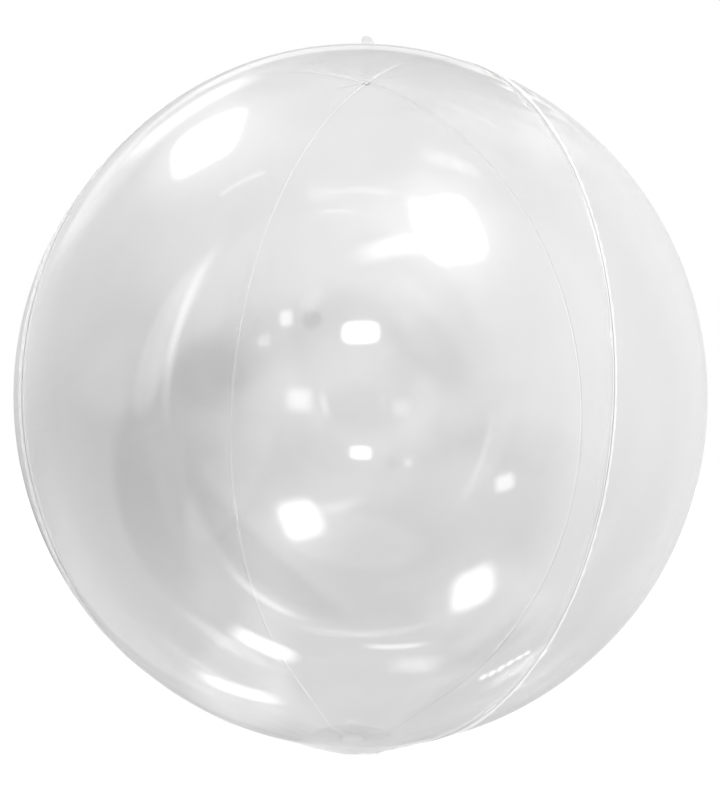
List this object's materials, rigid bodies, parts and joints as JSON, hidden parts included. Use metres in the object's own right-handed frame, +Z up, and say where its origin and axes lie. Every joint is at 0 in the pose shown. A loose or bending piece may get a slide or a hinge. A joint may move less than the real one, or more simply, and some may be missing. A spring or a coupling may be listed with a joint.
{
  "type": "bubble balloon",
  "caption": "Clear round balloon of welded film panels with raised weld seams, a tab on the crown and the filling tail folded flat beneath it.",
  "frame": {"origin": "on the surface it stands on, under the middle of the body", "axes": "+Z up through the neck and the tab, -Y to the front, the way the front panel faces, +X to its right as seen from the front"},
  "size_m": [0.48, 0.48, 0.5332],
  "materials": {
    "clear_film": "clear glossy stretch film, see-through",
    "tab_film": "clear glossy film, doubled and welded",
    "tail_film": "clear film, folded in layers, a little cloudy"
  },
  "bodies": {
    "root": {"panel_front": "clear_film", "panel_right": "clear_film", "panel_back": "clear_film", "panel_left": "clear_film", "top_tab": "tab_film", "filling_tail": "tail_film"}
  },
  "joints": []
}
